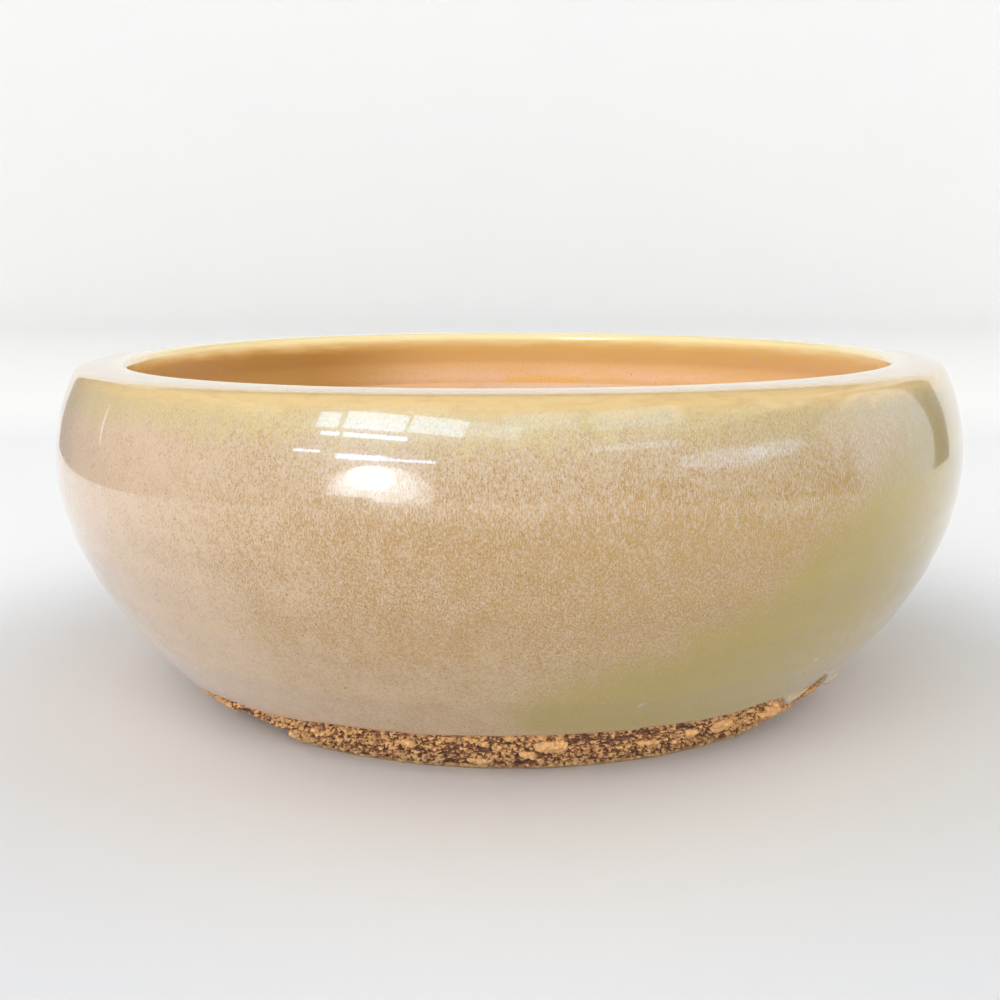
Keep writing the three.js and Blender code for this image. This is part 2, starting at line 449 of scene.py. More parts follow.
    # A rosy margin along the glaze line, milky spots and dark specks
    margin = s.ramp(s.sum(s.height, s.swing(1.5, 3.0, seed=13.0)), 10.4, 9.0)
    color = s.mix(s.math("MULTIPLY", margin, 0.55), color, ROSE)
    near = [s.math("ABSOLUTE", s.sum(s.azimuth, -place)) for place in FRONT_DRIPS]
    drips = s.product(s.ramp(s.math("MINIMUM", *near), 3.6, 2.0), s.ramp(s.height, 10.6, 9.4))
    color = s.mix(s.math("MULTIPLY", drips, 0.6), color, CREAM)
    spots = s.math("MULTIPLY", s.specks(9, 1.1, 0.25, seed=5.0), s.ramp(s.noise(1.2, detail=3), 0.40, 0.66))
    color = s.mix(s.math("MULTIPLY", spots, 0.6), color, MILKY)
    fewer = s.product(s.ramp(s.height, 60, 50), s.math("SUBTRACT", 1.0, s.math("MULTIPLY", olive, 0.7)))
    color = s.mix(s.product(s.specks(0.56, 0.12, 0.50), fewer, 0.65), color, BROWN)
    color = s.mix(s.math("MULTIPLY", s.specks(5, 0.22, 0.4, seed=9.0), 0.6), color, BROWN)

    soft = s.noise(1.6, detail=2, seed=2.0)
    normal = s.bump(soft, 0.05, 0.35)
    normal = s.bump(mottle, 0.006, 0.5, normal)
    return s.finish(color, 0.18, Normal=normal, IOR=1.5, Coat_Weight=0.9, Coat_Roughness=0.03,
                    Coat_IOR=1.5)


def torn_clay_material():
    """Bare clay: dark in its tears, and pale on its flat tops."""
    s = Shader("torn_clay")
    # The relief attribute holds the relief with painted shade under each chip and painted highlights on the
    # chip tops.
    relief = s.node("ShaderNodeAttribute", attribute_name="relief").outputs["Fac"]
    grain = s.noise(0.30, 0.20, detail=3, rough=0.65)
    strata = s.product(s.swing(1.0, 1.8, 0.26, detail=2, seed=5.0), s.ramp(s.height, 2.5, 6.0, 0.75, 1.0))
    depth = s.sum(relief, s.math("MULTIPLY", s.math("SUBTRACT", grain, 0.5), 0.40), strata)
    dark = s.mix(s.noise(2.5, seed=4.0), srgb(66, 42, 34), srgb(96, 64, 54))
    brown = srgb(172, 116, 72)
    apricot = s.mix(s.ramp(s.noise(2.2, 1.4, seed=6.0), 0.38, 0.62), srgb(226, 178, 122), srgb(244, 192, 126))
    sandy = s.mix(s.ramp(s.height, 4.2, 2.0, 0.0, 0.7), apricot, srgb(226, 188, 136))
    color = s.mix(s.ramp(depth, 0.18, 0.40), dark, brown)
    color = s.mix(s.ramp(depth, 0.34, 0.58), color, sandy)
    toast = s.ramp(s.noise(1.4, 0.5, detail=3, seed=8.0), 0.46, 0.66)
    color = s.mix(s.math("MULTIPLY", toast, 0.40), color, srgb(178, 124, 80))
    below = s.node("ShaderNodeAttribute", attribute_name="below_glaze").outputs["Fac"]
    flush = s.ramp(s.sum(below, s.swing(1.8, 2.4, 0.8, detail=2, seed=7.0)), 1.0, 0.3)
    blush = s.mix(s.ramp(depth, 0.15, 0.5), srgb(134, 86, 60), srgb(222, 164, 116))
    color = s.mix(s.math("MULTIPLY", flush, 0.65), color, blush)
    rim = s.ramp(s.height, 0.55, 0.25)
    color = s.mix(s.math("MULTIPLY", rim, 0.6), color, srgb(206, 180, 138))
    normal = s.bump(grain, 0.12, 0.8)
    return s.finish(color, 0.85, Normal=normal, IOR=1.45)


def inner_clay_material():
    """The clay inside the pot, banded by the potter's fingers."""
    s = Shader("inner_clay")
    cloud = s.noise(16, 7, detail=3)
    bands = s.noise(30, 1.4, detail=2, seed=3.0)
    grain = s.noise(0.6, 0.4, detail=3, rough=0.6)
    peach = s.mix(s.ramp(cloud, 0.38, 0.62), srgb(216, 180, 144), srgb(222, 194, 166))
    color = s.mix(s.ramp(bands, 0.40, 0.64), peach, srgb(226, 186, 142))
    warped = s.sum(s.azimuth, s.swing(26, 14, 8, detail=2, seed=6.0))
    back = s.product(s.ramp(warped, 120, 95), s.ramp(s.noise(12, 6, seed=9.0), 0.5, 0.62), 0.5)
    color = s.mix(back, color, srgb(228, 184, 116))
    # Painted shade on the back left of the inner wall, which faces away from the light.
    painted_shade_back_left = s.product(s.back_left(-168), s.ramp(s.height, 34, 46))
    color = s.mix(s.math("MULTIPLY", painted_shade_back_left, 0.75), color, srgb(196, 158, 100))
    color = s.mix(s.math("MULTIPLY", s.ramp(grain, 0.55, 0.75), 0.25), color, srgb(176, 122, 80))
    color = s.mix(s.math("MULTIPLY", s.specks(2.2, 0.25, 0.4), 0.5), color, srgb(120, 80, 52))
    normal = s.bump(grain, 0.06, 0.6)
    return s.finish(color, 0.7, Normal=normal, IOR=1.45)


GLAZE = glaze_material()
TORN_CLAY = torn_clay_material()
INNER_CLAY = inner_clay_material()

# ---------------------------------------------------------------- the glaze coat

GLAZE_COLUMNS = 560
GLAZE_ROWS = 128
GLAZE_UNDER_ROWS = 20
OUTLINE_POINTS = 1200           # how finely the outline is measured
LIP_SOFTNESS = 0.9              # how far the corners of the lip are rounded, in mm
EDGE_DEPTH = 0.35               # how far the coat's edge dips into the clay
EDGE_LENGTH = 0.35              # how soon above its edge the coat is thick
INSIDE_SHARE = 0.13             # share of the hollow's curve that the glaze runs down
INSIDE_LIFT = 0.50              # how thick it is there
INSIDE_DIP = 0.15               # how far its inner edge dips into the clay
BEAD_RISE = 0.14
BEAD_ABOVE_EDGE = 1.1
BEAD_HALF_WIDTH = 0.9

# Where the glaze line bends: azimuth in degrees, rise (or drop) in mm, and half-width in degrees.
LINE_BENDS = (
    (36, 0.8, 4.5), (43.6, -1.8, 1.7), (48.2, 2.8, 2.3), (54, -0.9, 2.6), (-36, -0.8, 9), (-50, -1.0, 8),
    (-61, -2.0, 8), (8, 0.15, 3), (75, -1.2, 2.5), (90, 0.9, 5), (118, -1.1, 3), (140, 0.7, 6),
    (167, -0.8, 4), (205, -1.4, 2.5), (222, 1.0, 5), (251, -0.9, 3), (275, 0.8, 5))
# Drips that stand out below the line: azimuth and half-width in degrees, and thickness in mm.
DRIPS = ((FRONT_DRIPS[0], 1.8, 0.35), (FRONT_DRIPS[1], 2.4, 0.45), (75, 2.2, 0.4), (118, 2.6, 0.4),
         (205, 2.4, 0.5))


def away_from(middle, azimuths):
    """Degrees from an azimuth, from -180 to 180."""
    return (np.degrees(azimuths) - middle + 180) % 360 - 180


def glaze_line(azimuths):
    """Height of the glaze's lower edge round the pot, in mm."""
    line = GLAZE_LINE + 0.45 * np.sin(azimuths) + 0.12 * np.sin(5 * azimuths + 0.8)
    line += 0.09 * np.sin(17 * azimuths + 2.0) + 0.06 * np.sin(41 * azimuths) + 0.04 * np.sin(67 * azimuths)
    for middle, rise, half in LINE_BENDS:
        line = line + rise * np.exp(-(away_from(middle, azimuths) / half) ** 2)
    return line


def make_glaze():
    """The coat outside, over the lip and a little way down inside, as one closed skin."""
    azimuths = circle(GLAZE_COLUMNS)
    lowest = curve_share(BELLY, GLAZE_LINE - 4)
    outline = joined(bezier(BELLY, np.linspace(lowest, 1, 400)), bezier(LIP_TOP, np.linspace(0, 1, 80)),
                     bezier(LIP_ROLL, np.linspace(0, 1, 80)),
                     bezier(HOLLOW, np.linspace(0, INSIDE_SHARE, 40)))
    full = evenly(outline, OUTLINE_POINTS, softness=LIP_SOFTNESS)
    length = np.concatenate([[0], np.cumsum(np.hypot(*np.diff(full, axis=0).T))])

    # Each column starts at its own height on the glaze line, and its rows spread evenly above it.
    rising = slice(0, OUTLINE_POINTS // 3)
    start = np.interp(glaze_line(azimuths), full[rising, 1], length[rising])
    share = np.linspace(0, 1, GLAZE_ROWS)[:, None] ** 1.15
    along = start + (length[-1] - start) * share
    radius = np.interp(along, length, full[:, 0])
    height = np.interp(along, length, full[:, 1])
    normal = normals(full)
    out_r = np.interp(along, length, normal[:, 0])
    out_z = np.interp(along, length, normal[:, 1])

    # The coat dips into the clay at both of its edges, with a full round bead at the lower one.
    from_edge = along - start
    from_end = length[-1] - along
    coat = -EDGE_DEPTH + (GLAZE_THICKNESS + EDGE_DEPTH) * (1 - np.exp(-from_edge / EDGE_LENGTH))
    coat = coat - GLAZE_THICKNESS
    end = INSIDE_LIFT * smoothstep(0.0, 2.0, from_end) - INSIDE_DIP
    over = end + (coat - end) * smoothstep(6, 13, from_end)
    full_bead = BEAD_RISE + sum(rise * np.exp(-(away_from(middle, azimuths) / half) ** 2)
                                for middle, half, rise in DRIPS)
    bead = full_bead * np.exp(-((from_edge - BEAD_ABOVE_EDGE) / BEAD_HALF_WIDTH) ** 2)
    outside = smoothstep(12, 21, from_end)
    levels = np.linspace(0, 60, 600)
    rings = throwing_rings(azimuths, levels, pitch=7.4, depth=0.045)
    ripple = np.empty_like(height)
    for column in range(GLAZE_COLUMNS):
        ripple[:, column] = np.interp(height[:, column], levels, rings[:, column])
    calm = 1 - 0.88 * smoothstep(32, 45, height)
    out = over + bead + (ripple * calm + out_of_round(azimuths)) * outside
    lift = lip_lift(azimuths, height)
    skin = np.stack([radius + out_r * out, height + out_z * out + lift], -1)

    # The back of the coat lies a little inside the clay.
    rows = np.linspace(GLAZE_ROWS - 1, 0, GLAZE_UNDER_ROWS + 2)[1:-1]
    at = rows.round().astype(int)
    depth = GLAZE_THICKNESS + EDGE_DEPTH
    under = np.stack([radius[at] - out_r[at] * depth, height[at] - out_z[at] * depth + lift[at]], -1)
    section = np.concatenate([skin, under])
    points = placed(section[..., 0], section[..., 1], azimuths)
    ring("glaze_skin", points, GLAZE, ["glaze_coat"])


make_glaze()

# ---------------------------------------------------------------- the clay wall and lip

WALL_COLUMNS = 360


def make_wall():
    """The clay wall, from the glaze line up to the lip outside, and down to the floor inside."""
    azimuths = circle(WALL_COLUMNS)
    low = curve_share(BELLY, GLAZE_LINE + 0.6)
    high = curve_share(BELLY, LIP_SEAM)
    outer = bezier(BELLY, np.linspace(low, high, 24))
    outer = outer - normals(outer) * (GLAZE_THICKNESS + CLAY_GAP)
    inner = bezier(HOLLOW, np.linspace(0, 1, 110))
    inner_out = throwing_rings(azimuths, inner[:, 1], pitch=6.2, depth=0.16)
    inner_out *= smoothstep(FLOOR_TOP, FLOOR_TOP + 5, inner[:, 1:]) * smoothstep(48, 43, inner[:, 1:])
    lift = lip_lift(azimuths, inner[:, 1:])
    foot = np.array([[FLOOR_RADIUS - 0.6, FLOOR_TOP - 1.0], [FLOOR_RADIUS, GLAZE_LINE + 0.35]])
    points = np.concatenate([
        turned_points(outer, azimuths), turned_points(inner, azimuths, inner_out, lift),
        turned_points(foot, azimuths)])
    ring("clay_wall", points, INNER_CLAY, ["wall_shell"])


def make_lip():
    """The clay of the rolled lip, under the glaze."""
    azimuths = circle(WALL_COLUMNS)
    low = curve_share(BELLY, LIP_SEAM)
    outline = joined(bezier(BELLY, np.linspace(low, 1, 16)), bezier(LIP_TOP, np.linspace(0, 1, 12)),
                     bezier(LIP_ROLL, np.linspace(0, 1, 24)))
    outline = evenly(outline, 56, softness=LIP_SOFTNESS)
    outline = outline - normals(outline) * (GLAZE_THICKNESS + CLAY_GAP)
    lift = lip_lift(azimuths, outline[:, 1:])
    points = turned_points(outline, azimuths, 0, lift)
    ring("lip_clay", points, INNER_CLAY, ["rolled_lip"])


make_wall()
make_lip()

# ---------------------------------------------------------------- the torn clay of band and feet

BAND_COLUMNS = 2200
BAND_ROWS = 44
FOOT_ROWS = 17
BAND_RADIUS = 62                # about half way up the band
BAND_TUCK = 0.9                 # how far the band reaches up behind the glaze
TEAR_DEPTH = 1.25
MEAN_RELIEF = 0.80              # the relief that lies on the outline of the CAD model
WANDER = 0.25                   # how far the whole surface wanders in and out
NOTCH_TURN = 64                 # degrees from the middle of a foot to the arch over the next notch
NOTCH_HALF = 5.5                # half the arch's width in degrees
NOTCH_RISE = 2.3
SOLE_EDGE = 0.35                # the height where a foot turns under

# Patches pressed smooth: azimuth in degrees, then height, half-width, half-height and rise in mm. A
# negative rise is a tear.
PRESSED = (
    (5.5, 6.0, 2.7, 1.15, 0.25), (0, 8.1, 1.3, 0.6, 0.15), (-4.5, 1.9, 2.0, 0.6, 0.1),
    (2.8, 3.9, 1.5, 0.6, 0.2), (26.5, 5.7, 1.6, 0.9, 0.2), (20, 4.6, 2.2, 0.5, 0.1),
    (32, 6.2, 2.2, 1.3, 0.35), (41, 6.6, 2.4, 1.5, 0.5), (57.5, 7.6, 1.6, 1.1, 0.4),
    (50.5, 8.0, 2.6, 2.8, -0.66), (-36.2, 1.8, 0.8, 1.2, 0.25), (-14, 5.8, 0.9, 0.8, 0.1),
    (74, 4.6, 2.2, 1.3, 0.3), (98, 5.5, 3.0, 1.2, 0.2), (127, 3.0, 2.4, 1.0, 0.2),
    (151, 6.0, 2.0, 1.0, 0.3), (186, 4.4, 3.2, 1.3, 0.2), (219, 6.2, 1.8, 0.9, 0.2),
    (238, 3.2, 2.8, 1.1, 0.3), (268, 5.2, 2.6, 1.3, 0.2), (297, 2.6, 2.2, 0.8, 0.2))
PRESSED_REACH = 8               # the widest patch ends within so many degrees of its middle


def pressed(azimuth, where):
    """How far a point of the band is pressed smooth, from 0 to 1, and how far it stands out."""
    warp = noise.noise_vector(where * 0.7) + 0.45 * noise.noise_vector(where * 2.3)
    most, rise = 0.0, 0.0
    for middle, level, wide, tall, out in PRESSED:
        away = away_from(middle, azimuth)
        if abs(away) > PRESSED_REACH:
            continue
        across = math.radians(away) * BAND_RADIUS / wide + 0.55 * warp.x
        up = (where.z - level) / tall + 0.7 * warp.y + 0.35 * across
        share = max(0.0, 1 - (across * across + up * up))
        if share > most:
            most, rise = share, out * (share if out > 0 else min(1.0, 3 * share))
    return float(smoothstep(0.0, 0.35, most)), rise


def torn(point):
    """The relief of torn clay at a point in mm: 0 in the deepest tears, about 1 on the flat tops."""
    where = Vector(point)
    azimuth = math.atan2(where.x, -where.y)
    bend = noise.noise_vector(where * 0.55) * 0.8
    finer = float(smoothstep(4.5, 1.5, where.z))
    apart, middles = noise.voronoi(Vector((where.x / 1.15, where.y / 1.15, where.z / 0.42)) + bend)
    plate = float(smoothstep(0.02, 0.45, apart[1] - apart[0]))
    step = noise.noise(middles[0] * 5.7)
    chip = noise.voronoi(Vector((where.x / 0.85, where.y / 0.85, where.z / 0.36)) + bend * 1.6)[0]
    chip = float(smoothstep(0.02, 0.40, chip[1] - chip[0])) * (1 - 0.25 * finer)
    tear = noise.fractal(Vector((where.x / 4.2, where.y / 4.2, where.z / 2.0)), 0.8, 2.0, 3)
    level = min(max(0.66 + 0.44 * tear + 0.48 * step, 0.08), 0.95)
    relief = level * (0.32 + 0.68 * plate) * (0.62 + 0.38 * chip)
    flat, rise = pressed(azimuth, where)
    lumps = noise.noise(Vector((where.x / 0.8, where.y / 0.8, where.z / 0.5)))
    relief += (0.86 + 0.10 * tear + 0.20 * lumps - 0.24 * (1 - chip) + rise - relief) * flat
    sole = float(smoothstep(0.5, 0.1, where.z))
    return relief + (0.62 - relief) * sole


def belly_points(heights):
    """Points of the belly's outline at some heights, low down."""
    line = bezier(BELLY, np.linspace(0, 0.35, 600))
    return np.stack([np.interp(heights, line[:, 1], line[:, 0]), heights], -1)


def torn_side(low, high, rows, azimuths, calm=0.0):
    """Points of a torn surface between two heights, and the relief at each, with painted shade under the
    chips and painted highlights on their tops.

    The heights are numbers or arrays with one value for each azimuth, and so is how much the
    lowest part is calmed down.
    """
    share = np.linspace(0, 1, rows)[:, None]
    heights = low + (high - low) * share + 0 * azimuths
    section = belly_points(heights)
    levels = np.linspace(0.2, 12, 60)
    slope = normals(belly_points(levels))
    out_r = np.interp(heights, levels, slope[:, 0])
    out_z = np.interp(heights, levels, slope[:, 1])
    smooth = placed(section[..., 0], heights, azimuths)
    relief = np.array([torn(p) for p in smooth.reshape(-1, 3)]).reshape(smooth.shape[:2])
    edge = [noise.noise(Vector((math.sin(a) * 7, math.cos(a) * 7, 3.0))) for a in azimuths]

    # Painted shade under each chip and a painted highlight on its top edge, added to the relief that the
    # colour is read from.
    above = (np.roll(relief, -1, axis=0) + np.roll(relief, -2, axis=0) + np.roll(relief, -3, axis=0)) / 3
    above[-3:] = relief[-3:]
    shaded_relief = relief + 0.55 * np.clip(relief - above, -0.5, 0.4)
    out = (relief - MEAN_RELIEF) * TEAR_DEPTH + WANDER * np.array(edge)
    out = out * (1 - calm * smoothstep(0.35, 0.05, share))
    return placed(section[..., 0] + out_r * out, heights + out_z * out, azimuths), shaded_relief


def set_values(piece, name, numbers):
    values = piece.data.attributes.new(name, "FLOAT", "POINT")
    values.data.foreach_set("value", numbers.astype(np.float32).ravel())


def make_band():
    """The torn ring between the feet and the glaze, arched up a little over each notch."""
    azimuths = circle(BAND_COLUMNS)
    top = glaze_line(azimuths) + BAND_TUCK
    arch = sum(np.exp(-(away_from(middle + NOTCH_TURN, azimuths) / NOTCH_HALF) ** 2)
               for middle in FOOT_AZIMUTHS)
    low = FOOT_TOP + NOTCH_RISE * arch
    side, relief = torn_side(low, top, BAND_ROWS, azimuths, calm=0.75 * np.clip(3 * arch, 0, 1))
    inside = turned_points(np.array([[FLOOR_RADIUS, GLAZE_LINE], [FLOOR_RADIUS, FOOT_TOP]]), azimuths)
    piece = ring("torn_band", np.concatenate([side, inside]), TORN_CLAY, ["base_band"])
    below = (top - low) * np.linspace(1, 0, BAND_ROWS)[:, None] - BAND_TUCK
    # These relief values carry the chips' painted shade and painted highlights.
    set_values(piece, "relief", np.concatenate([relief, np.full((2, BAND_COLUMNS), 0.6)]))
    set_values(piece, "below_glaze", np.concatenate([below, np.full((2, BAND_COLUMNS), 9.0)]))


def make_foot(number, middle):
    """One foot, torn outside like the band and flat underneath."""
    half = FOOT_ARC / 2
    count = int(BAND_COLUMNS * FOOT_ARC / 360)
    azimuths = np.radians(np.linspace(middle - half, middle + half, count))
    inner = FOOT_RADIUS - FOOT_WIDTH
    rest = np.array([[inner, FOOT_TOP], [inner, 0.4], [inner + 0.4, 0], [FOOT_RADIUS - 0.7, 0]])
    side, relief = torn_side(SOLE_EDGE, FOOT_TOP, FOOT_ROWS, azimuths)
    points = np.concatenate([side, turned_points(rest, azimuths)])
    relief = np.concatenate([relief, np.full((len(rest), count), 0.55)])

    # The ends are rounded: the last columns close in on the middle of the section.
    for depth, shrink in ((0, 0.70), (1, 0.86), (2, 0.95)):
        for column in (depth, count - 1 - depth):
            middle_point = points[:, column].mean(0)
            points[:, column] = middle_point + (points[:, column] - middle_point) * shrink
    rows = len(points)
    faces = grid_faces(rows, count, close_columns=False)
    start = [i * count for i in range(rows)]
    end = [i * count + count - 1 for i in range(rows)]
    faces += [start[::-1], end]
    piece = new_piece(f"foot_pad_{number}", points.reshape(-1, 3), faces, TORN_CLAY,
                      [f"foot_{number}"], flat_faces=(len(faces) - 2, len(faces) - 1))
    # These relief values carry the chips' painted shade and painted highlights.
    set_values(piece, "relief", relief)
    set_values(piece, "below_glaze", np.full(relief.shape, 9.0))


make_band()
for index, azimuth in enumerate(FOOT_AZIMUTHS):
    make_foot(index + 1, azimuth)

# ---------------------------------------------------------------- the floor and its holes

FLOOR_COLUMNS = 240
FLOOR_ROWS = 70
FLOOR_UNDER_ROWS = 30
FLOOR_TUCK = 3                  # how far the floor reaches into the wall
WIRE_HOLE_COLUMNS = 32


def make_floor():
    """The floor: a low spiral on top, a rounded drain hole, and the wire holes."""
    azimuths = circle(FLOOR_COLUMNS)
    reach = FLOOR_RADIUS + FLOOR_TUCK
    over = np.linspace(reach, DRAIN_RADIUS + 0.8, FLOOR_ROWS)
    under = np.linspace(DRAIN_RADIUS + 0.6, reach, FLOOR_UNDER_ROWS)
    top = np.stack([over, np.full(FLOOR_ROWS, FLOOR_TOP - 0.02)], 1)
    hole = np.array([[DRAIN_RADIUS + 0.2, FLOOR_TOP - 0.3], [DRAIN_RADIUS, FLOOR_TOP - 1.0],
                     [DRAIN_RADIUS, FOOT_TOP + 0.8], [DRAIN_RADIUS + 0.15, FOOT_TOP + 0.25]])
    bottom = np.stack([under, np.full(FLOOR_UNDER_ROWS, FOOT_TOP)], 1)
    section = np.concatenate([top, hole, bottom])
    points = turned_points(section, azimuths)
    spiral = 0.11 * np.sin(2 * math.pi * over[:, None] / 5.2 - azimuths)
    spiral = spiral * smoothstep(FLOOR_RADIUS - 0.5, FLOOR_RADIUS - 6, over)[:, None]
    points[:FLOOR_ROWS, :, 2] += spiral * smoothstep(DRAIN_RADIUS + 0.8, DRAIN_RADIUS + 4, over)[:, None]
    piece = ring("floor_disc", points, INNER_CLAY, ["floor_slab"])
    for hole_azimuth in WIRE_HOLE_AZIMUTHS:
        drill(piece, math.radians(hole_azimuth))


def drill(piece, azimuth):
    """Cuts one wire hole, with its edges softened, through the floor.

    The profile gives shares of the hole's radius, and heights over the underside of the floor.
    """
    profile = [(1.5, -4), (1.5, -0.5), (1.22, 0), (1.0, 0.7), (1.0, 6.3), (1.22, 7), (1.5, 7.5), (1.5, 12)]
    around = circle(WIRE_HOLE_COLUMNS)
    spot = np.array([math.sin(azimuth), -math.cos(azimuth)]) * WIRE_HOLE_CIRCLE
    points = []
    for wide, above in profile:
        for angle in around:
            points.append((spot[0] + WIRE_HOLE_RADIUS * wide * math.cos(angle),
                           spot[1] + WIRE_HOLE_RADIUS * wide * math.sin(angle), FOOT_TOP + above))
    faces = grid_faces(len(profile), len(around), close_rows=False)
    faces += [list(range(len(around)))[::-1],
              [(len(profile) - 1) * len(around) + k for k in range(len(around))]]
    mesh = bpy.data.meshes.new("drill")
    mesh.from_pydata((np.array(points) * MM).tolist(), [], faces)
    mesh.materials.append(INNER_CLAY)
    mesh.shade_smooth()
    cutter = bpy.data.objects.new("drill", mesh)
    bpy.context.scene.collection.objects.link(cutter)
    cut = piece.modifiers.new("hole", "BOOLEAN")
    cut.operation = "DIFFERENCE"
    cut.object = cutter
    cut.solver = "EXACT"
    bpy.context.view_layer.objects.active = piece
    bpy.context.view_layer.update()
    bpy.ops.object.modifier_apply(modifier=cut.name)
    bpy.data.objects.remove(cutter)


make_floor()

# ---------------------------------------------------------------- the studio

CAMERA_AT = (-0.0015, -0.2475, 0.0766)
CAMERA_PITCH = 10.1
LENS = 46.7
SENSOR_WIDTH = 36
FLAT_RADIUS = 1.6               # the flat part of the studio's floor
BEND_RADIUS = 0.7               # the curve from the floor up into the wall
WALL_TOP = 1.6


def make_camera():
    camera = bpy.data.cameras.new("camera")
    camera.lens = LENS
    camera.sensor_width = SENSOR_WIDTH
    camera.clip_start = 0.01
    holder = bpy.data.objects.new("camera", camera)
    holder.location = CAMERA_AT
    holder.rotation_euler = (math.radians(90 - CAMERA_PITCH), 0, 0)
    bpy.context.scene.collection.objects.link(holder)
    bpy.context.scene.camera = holder


def stage_material():
    """White paper, with painted shade that keeps the table greyer near the pot and in front of it, painted
    warm bounce light close round its foot, and painted light at its sides.
    """
    s = Shader("studio_white")
    table = s.mix(s.noise(60, detail=2), srgb(210, 213, 217), srgb(212, 214, 218))
    wall = s.mix(s.noise(300, detail=2), srgb(238, 239, 240), srgb(241, 241, 241))
    # Painted light on the table at the sides of the pot, where its shadow falls.
    painted_light_beside = s.math("ABSOLUTE", s.math("SUBTRACT", s.azimuth, 10))
    painted_light_beside = s.product(s.ramp(painted_light_beside, 45, 100), s.ramp(s.radius, 85, 150), 0.6)
    # Painted warm bounce light from the pot, on the table close round it.
    table = s.mix(s.ramp(s.radius, 130, 70), table, srgb(212, 209, 207))
    # Painted shade: the table is greyer near the pot, turning to the wall's white from 140 to 600 mm out.
    return s.finish(s.mix(s.math("MAXIMUM", painted_light_beside, s.ramp(s.radius, 140, 600)), table, wall), 0.9)


def make_stage():
    """A pale floor that curves up into a wall far behind and on all sides."""
    azimuths = circle(128)
    bend = [(FLAT_RADIUS + BEND_RADIUS * math.sin(turn), BEND_RADIUS - BEND_RADIUS * math.cos(turn))
            for turn in np.linspace(0, math.pi / 2, 16)]
    flat = [(0.0, 0.0), (0.2, 0.0), (0.6, 0.0), (1.2, 0.0)]
    profile = flat + bend + [(FLAT_RADIUS + BEND_RADIUS, WALL_TOP)]
    points, faces = [], []
    for radius, height in profile:
        points += [(radius * math.sin(a), -radius * math.cos(a), height) for a in azimuths]
    faces = grid_faces(len(profile), len(azimuths), close_rows=False)
    mesh = bpy.data.meshes.new("studio_floor")
    mesh.from_pydata(points, [], [face[::-1] for face in faces])
    mesh.shade_smooth()
    mesh.materials.append(stage_material())
    mesh.validate()
    floor = bpy.data.objects.new("studio_floor", mesh)
    bpy.context.scene.collection.objects.link(floor)


DAYLIGHT = (0.42, 0.69, 1.0)
PALE_DAYLIGHT = (0.78, 0.89, 1.0)
LAMPLIGHT = (1.0, 0.985, 0.96)


def panel(name, middle, aim, size, radiance, color=LAMPLIGHT, shape="RECTANGLE"):
    """A flat light between two points: where it hangs and what it is turned to."""
    light = bpy.data.lights.new(name, "AREA")
    light.shape = shape
    light.size, light.size_y = size
    light.energy = radiance * light.size * light.size_y * math.pi
    if shape == "ELLIPSE":
        light.energy *= math.pi / 4
    light.color = color
    holder = bpy.data.objects.new(name, light)
    holder.location = middle
    holder.rotation_euler = (Vector(middle) - Vector(aim)).to_track_quat("Z", "Y").to_euler()
    holder.visible_camera = False
    bpy.context.scene.collection.objects.link(holder)
    return holder


def direction(azimuth, elevation):
    a, e = math.radians(azimuth), math.radians(elevation)
    return Vector((math.sin(a) * math.cos(e), -math.cos(a) * math.cos(e), math.sin(e)))


POT_MIDDLE = Vector((0, 0, 0.05))
WINDOW_DISTANCE = 1.4
WINDOW_AZIMUTH, WINDOW_ELEVATION = -30, 30
SOFT_DISTANCE = 2.0
SOFT_ELEVATION = 34
SOFT_HEIGHT = 36                # degrees


def window(name, azimuth, elevation, width, height, radiance, distance=WINDOW_DISTANCE, **settings):
    """A light whose place and size are angles in degrees, seen from the middle of the pot."""
    size = tuple(2 * distance * math.tan(math.radians(v / 2)) for v in (width, height))
    middle = POT_MIDDLE + direction(azimuth, elevation) * distance
    return panel(name, middle, POT_MIDDLE, size, radiance, **settings)


def reflected_only(light):
    """Keeps a light to reflections: the soft lights bring the brightness that it stands for."""
    light.visible_diffuse = False


def pane(name, left, right, low, high, radiance, color=DAYLIGHT, shape="RECTANGLE"):
    """A pane of the big window, which leans over the pot, with its edges in shares of the distance."""
    facing = direction(WINDOW_AZIMUTH, WINDOW_ELEVATION)
    across = direction(WINDOW_AZIMUTH + 90, 0)
    upwards = facing.cross(across)
    shift = across * (left + right) / 2 + upwards * (low + high) / 2
    middle = POT_MIDDLE + (facing + shift) * WINDOW_DISTANCE
    size = ((right - left) * WINDOW_DISTANCE, (high - low) * WINDOW_DISTANCE)
    reflected_only(panel(name, middle, middle - facing, size, radiance, color=color, shape=shape))


